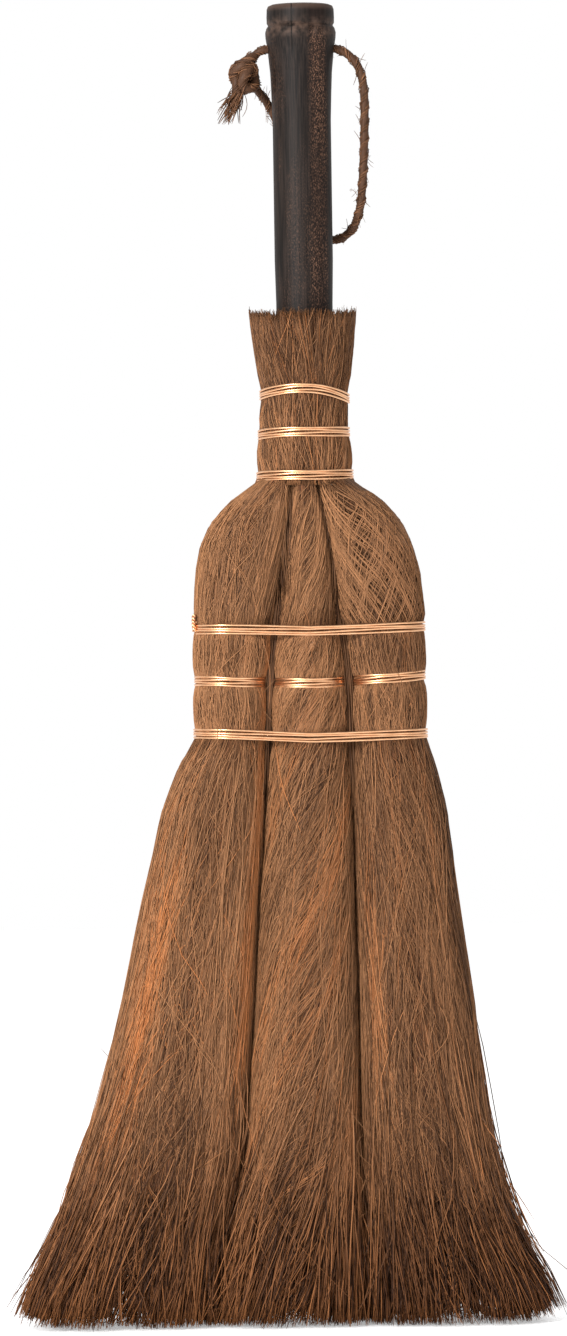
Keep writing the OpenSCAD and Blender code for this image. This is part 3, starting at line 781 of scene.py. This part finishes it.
# The shares of fibres in the outer layer, cut short, and astray
OUTER, SHORT, ASTRAY = 0.62, 0.16, 0.07
t = np.linspace(0, 1, 8)[None, :]
for i, name in enumerate(NAMES):
    count = BRUSH_FIBRES[i]
    outer = rng.uniform(0, 1, count) < OUTER
    depth_in = np.where(outer, rng.uniform(0.84, 1.0, count), np.sqrt(rng.uniform(0, 1, count)))
    turn = rng.uniform(0, 2 * np.pi, count)
    lean = np.radians(LAY[i]["lean"] * 0.5 + rng.normal(0, 6.0, count))
    start = rng.uniform(46, 125, count)

    def fan(z):
        """Where the fibres would be at a height with no splay of their own."""
        at = turn[:, None] + np.tan(lean)[:, None] * (z - start[:, None]) / 28
        on = surface(i, at, z, -0.5)
        low, high = (edge(z) for edge in BOUNDS[i])
        axis = np.stack([(low + high) / 2, 0 * z, z], axis=-1)
        return axis + (on - axis) * depth_in[:, None, None]

    # Tips draw together into tufts of uneven length
    tip = fan(np.full((count, 1), TUFT_Z))[:, 0]
    tufts = tip[rng.integers(0, count, TUFTS)]
    own_tuft = np.argmin(((tip[:, None, :2] - tufts[None, :, :2]) ** 2).sum(axis=2), axis=1)
    draw = (tufts[own_tuft] - tip) * rng.uniform(0.0, 0.55, (count, 1))
    draw = draw + rng.normal(0, 1.3, (TUFTS, 3))[own_tuft]
    tuft_rise = np.abs(rng.normal(0, 0.9, TUFTS))[own_tuft]
    short = np.where(rng.uniform(0, 1, count) < SHORT, rng.uniform(4, 30, count), 0)
    end = np.maximum(0.4, tip_height(tip[:, 0]) + tuft_rise + np.abs(rng.normal(0, 1.3, count)) + short)
    z = start[:, None] + (end - start)[:, None] * t
    aside = np.array((1.0, 0.8, 0.0))
    splay = (draw[:, None] + rng.normal(0, 1, (count, 1, 3)) * 2.6) * aside * (t**2.2)[..., None]
    bend = rng.normal(0, 1.3, (count, 1, 3)) * aside * np.sin(np.pi * t * 1.5)[..., None]
    paths = fan(z) + splay + bend
    # Some tips stray further, and less so towards the corners
    wild = (rng.uniform(0, 1, count) < ASTRAY)[:, None] * np.clip(1.1 - np.abs(tip[:, :1] / 112) ** 3, 0, 1)
    paths[..., 0] += wild * rng.normal(0, 9, (count, 1)) * t**1.5
    paths[..., 0] = np.clip(paths[..., 0], LEAST_X, MOST_X)
    # The brush's threads have a lower tone than the bark threads above them: painted shade in the brush.
    tone = 0.37 + LAY[i]["tone"] + rng.normal(0, 0.3, count) + 0.14 * bunched(turn, start, i + 70)
    fibres(
        name + "_brush_fibres", paths, rng.uniform(0.13, 0.25, count), np.clip(tone, 0, 1),
        np.clip(rng.normal(-0.2, 0.3, count), 0, 0.6), bark_finish,
    )

# Stray fibres stand off the bundles and curl, and a few long ones cross them.
STRAYS = 96
LONG_STRAYS = (
    ((-35, 77), (14, 8)), ((-30, 99), (-13, 40)), ((3, 96), (19, 70)), ((24, 66), (33, 76)),
    ((40, 62), (58, 14)),
)
t = np.linspace(0, 1, 9)[:, None]
strays = []
for k in range(STRAYS):
    i = rng.integers(0, 3)
    on_brush = k % 4 > 0
    z = rng.uniform(30, 120) if on_brush else rng.uniform(120, 290)
    base = surface(i, np.array(rng.uniform(1.15 * np.pi, 1.85 * np.pi)), np.array(z), 0.1)
    away = rng.normal(0, 1, 3) * (5, 3, 0) * (1 if on_brush else 0.3) + (0, -rng.uniform(0.5, 2), 0)
    fall = -rng.uniform(8, 30) * rng.choice((1, 1, 1, -0.5))
    curl = rng.normal(0, 1, 3) * (2.5, 1, 1)
    strays.append(base + away * t**1.6 + np.array((0, 0, fall)) * t + curl * np.sin(np.pi * t))
for (x_0, z_0), (x_1, z_1) in LONG_STRAYS:
    bow = np.sin(np.pi * t) * (-(x_1 - x_0) * 0.12)
    strays.append(np.hstack([x_0 + (x_1 - x_0) * t + bow, -22.5 - 3 * t, z_0 + (z_1 - z_0) * t]))
strays = np.array(strays)
strays[..., 2] = np.maximum(strays[..., 2], 0.6)
count = len(strays)
fibres(
    "bark_strays", strays, rng.uniform(0.1, 0.16, count), rng.uniform(0.3, 1, count),
    np.clip(rng.normal(0, 0.3, count), 0, 0.8), bark_finish,
)

# ---------------------------------------------------------------- neck
# The bundles' heads are gathered round the handle under one more sheet of
# bark. Its threads cross in shallow Vs, and its top edge is frayed.
FRINGE_Z, NECK_SHADE_Z = 368.0, 346


def neck_surface(turn, z, lift):
    """The place on the neck at a turn about it, in radians, and a height. Lift is outwards, in mm."""
    low, high = left_edge(z), right_edge(z)
    lift = lift * np.where(np.asarray(lift) > 0, loose(z, NECK_WIRE_Z), 1)
    off = lift - sum(0.45 * near(z, wire, 3.2) for wire in NECK_WIRE_Z)
    x = (low + high) / 2 + ((high - low) / 2 + off) * np.cos(turn)
    return np.stack([x, (half_depth(z) + off) * np.sin(turn), z + 0 * x], axis=-1)


neck_sheet = rolled(
    "neck_bark_sheet", lambda turn, z: neck_surface(turn, z, -0.6), NECK_Z, FRINGE_Z - 2.5, 30, 1.4,
    shaded_mat_material,
)
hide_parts("neck_bark")

t = np.linspace(0, 1, 8)[None, :]
# As on the bundles, the under threads' darker tone is painted shade beneath the lighter threads on top.
for layer, count, lift, thick, light in (
    ("under", 1900, (-0.2, 0.1), (0.14, 0.21), 0.26), ("over", 1300, (0.15, 0.6), (0.11, 0.18), 0.6),
):
    turn = rng.uniform(0, 2 * np.pi, count)
    lean = np.radians(20 * np.cos(turn) * -np.sin(turn) + rng.normal(0, 13, count))
    to_fringe = rng.uniform(0, 1, count) < 0.45
    top = np.where(to_fringe, FRINGE_Z + rng.normal(0, 0.9, count), rng.uniform(313, 362, count))
    low = np.maximum(305.5, top - rng.uniform(14, 42, count))
    z = low[:, None] + (top - low)[:, None] * t
    wobble = 0.03 * np.sin(5 * t + turn[:, None] * 9)
    at = turn[:, None] + np.tan(lean)[:, None] * (z - low[:, None]) / 17 + wobble
    flare = np.where(to_fringe[:, None], 0.5 * t**3, 0)
    stand = rng.uniform(*lift, (count, 1)) * np.sin(np.pi * t) - 0.3 + flare
    # Threads that reach high up the neck are darker: painted shade on its upper part.
    tone = light + rng.normal(0, 0.22, count) + 0.12 * patchy(turn, low, 11) - 0.42 * (top > NECK_SHADE_Z)
    tone += 0.12 * bunched(turn, low, 21)
    fibres(
        "neck_bark_" + layer, neck_surface(at, z, stand), rng.uniform(*thick, count), np.clip(tone, 0, 1),
        np.clip(rng.normal(-0.2, 0.25, count), 0, 0.5), bark_finish,
    )

# Fibre ends that fill the space between the fringe's edge and the handle.
CLOSE_R = 11.0
count = 1700
t = np.linspace(0, 1, 5)[None, :]
turn = rng.uniform(0, 2 * np.pi, count)
share = np.sqrt(rng.uniform(0, 1, count))
top = FRINGE_Z + rng.normal(0, 0.9, count) - 1.2 * (1 - share)
z = (top - 14)[:, None] + 14 * t
at = turn[:, None] + np.radians(rng.normal(0, 7, count))[:, None] * (t - 0.5)
rim = neck_surface(at, z, -0.4)
close = np.stack([CLOSE_R * np.cos(at), CLOSE_R * np.sin(at), z], axis=-1)
paths = close + (rim - close) * share[:, None, None]
fibres(
    "neck_fringe_fibres", paths, rng.uniform(0.14, 0.22, count), np.clip(rng.normal(0.3, 0.22, count), 0, 1),
    np.clip(rng.normal(-0.3, 0.3, count), 0, 0.5), bark_finish,
)

# ---------------------------------------------------------------- copper wire
# Bare copper wire, four turns to each binding. Its two ends are twisted
# together and cut short.
WIRE_D, TURNS, PER_TURN, GAP = 0.82, 4, 80, 0.14
END_LENGTH = 6.0


def copper_finish():
    f = Finish("copper_wire", Metallic=1.0)
    marks = f.noise(f.place((260, 260, 420)), detail=2.0)
    f.put(f.shader.inputs["Roughness"], marks * 0.12 + 0.29)
    return f.finish(f.mix(marks, (0.7, 0.36, 0.18), (0.86, 0.54, 0.32)), bump=marks, strength=0.03)


copper = copper_finish()
wire_section = section_of("wire_section", 8)


def binding(name, loop, height, end_turn):
    """Turns of wire on a closed loop, and their twisted end.

    loop(turn) gives x and y, and height(turn) gives z.
    """

    def level(turn):
        return np.array([*np.ravel(loop(turn)), 0])

    turn = np.radians(end_turn) + np.linspace(0, 2 * np.pi * TURNS, TURNS * PER_TURN + 1)
    wound = (turn - turn[0]) / (2 * np.pi)
    x, y = loop(turn)
    slack = 0.1 * np.sin(turn * 2 + 1.9 * wound) + 0.09 * np.sin(3 * turn + 2.6 * wound)
    z = height(turn) + (wound - TURNS / 2) * (WIRE_D + GAP) + slack
    coil = np.stack([x, y, z], axis=1)
    out = level(turn[:1]) - level(turn[:1] + np.pi)
    out /= np.linalg.norm(out)
    base = level(turn[:1]) + (0, 0, height(turn[:1])[0])
    t = np.linspace(0, 1, 26)
    axis = base + out * (WIRE_D * 0.9 + 0.3 * np.sin(np.pi * t))[:, None]
    axis = axis + np.array((0, 0, 1)) * (t * END_LENGTH - 1.0)[:, None]
    aside = np.cross(out, (0, 0, 1))
    ends = []
    for k in (0, 1):
        a = 2 * np.pi * 2.4 * t + np.pi * k
        radius = WIRE_D * (0.48 + 0.25 * t**4)[:, None]
        ends.append(axis + radius * (out * np.cos(a)[:, None] + aside * np.sin(a)[:, None]))
    wound_piece = swept(name, [coil], WIRE_D / 2, wire_section)
    tails = swept(name + "_end", ends, WIRE_D / 2 * 0.96, wire_section)
    for piece in (wound_piece, tails):
        piece.data.materials.append(copper)
        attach(piece, "broom")
    return wound_piece


def oval(turn, low, high, deep):
    """Across from low to high, and deep on both sides."""
    return (low + high) / 2 + (high - low) / 2 * np.cos(turn), deep * np.sin(turn)


BITE = 0.3
NECK_DROOP = ((0, 0), (0.5, 0.3), (1.7, 4.0))
for k, name in enumerate(("neck_wire_lower", "neck_wire_middle", "neck_wire_upper")):
    z = NECK_WIRE_Z[k]
    off = WIRE_D / 2 - BITE
    low, high, deep = left_edge(z) - off, right_edge(z) + off, half_depth(z) + off
    left_droop, right_droop = NECK_DROOP[k]
    wire = binding(
        name, lambda turn: oval(turn, low, high, deep),
        lambda turn: z - np.where(np.cos(turn) < 0, left_droop, right_droop) * np.cos(turn) ** 2, 95 + 9 * k,
    )
    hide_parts(name)


STRAIGHT = 0.72


def round_body(turn, z):
    """Round the outer bundles' sides, and straight across front and back."""
    off = WIRE_D / 2 - BITE
    deep = half_depth(z) + off
    low, high = left_edge(z) - off + deep, right_edge(z) + off - deep
    c, s = np.cos(turn), np.sin(turn)
    past = np.clip((np.abs(c) - STRAIGHT) / (1 - STRAIGHT), 0, 1)
    span = np.clip(c / STRAIGHT, -1, 1)
    x = (low + high) / 2 + (high - low) / 2 * span + deep * np.sign(c) * past
    return x, deep * np.sqrt(1 - past**2) * np.sign(s)


SAG = 1.2
for name, z, end_turn, left_up, right_up in (
    ("body_wire_lower", BODY_WIRE_Z[0], 88, 1.0, -0.6), ("body_wire_upper", BODY_WIRE_Z[2], 193, 0.2, -0.3),
):
    wire = binding(
        name, lambda turn: round_body(turn, z),
        lambda turn: z - SAG + (SAG + np.where(np.cos(turn) < 0, left_up, right_up)) * np.abs(np.cos(turn)),
        end_turn,
    )
    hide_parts(name)

MIDDLE_INSET = 0.52
MIDDLE_TILT = ((0.6, -0.6), (-0.8, -0.8), (-0.2, 1.3))
for i, name in enumerate(NAMES):
    z = BODY_WIRE_Z[1]
    low, high = (edge(z) for edge in BOUNDS[i])
    low, high, deep = low + MIDDLE_INSET, high - MIDDLE_INSET, half_depth(z) - MIDDLE_INSET
    left_up, right_up = MIDDLE_TILT[i]
    wire = binding(
        name + "_bundle_wire", lambda turn: oval(turn, low, high, deep),
        lambda turn: z + (left_up + right_up) / 2 + (right_up - left_up) / 2 * np.cos(turn), 84 + 7 * i,
    )
    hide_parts(name + "_bundle_wire")

# ---------------------------------------------------------------- pieces inside
# Split-bamboo pegs and skewers, and the fibre ties round the cores. All are
# out of sight.


def split_bamboo_finish():
    f = Finish("split_bamboo", roughness=0.55)
    grain = f.noise(f.place((260, 260, 260)), detail=3.0)
    return f.finish(f.mix(grain, (0.42, 0.27, 0.12), (0.66, 0.47, 0.24)), bump=grain, strength=0.15)


split_bamboo = split_bamboo_finish()
for name in ("neck_peg", "centre_peg", "skewer_upper", "skewer_lower"):
    coat(name, split_bamboo)
tie_material = mat_finish("tie_fibre", (0.03, 0.014, 0.008), (0.14, 0.07, 0.035))
for name in NAMES:
    coat(name + "_core_tie", tie_material)

for helper in (thread_section, rope_section, wire_section):
    bpy.data.objects.remove(helper)
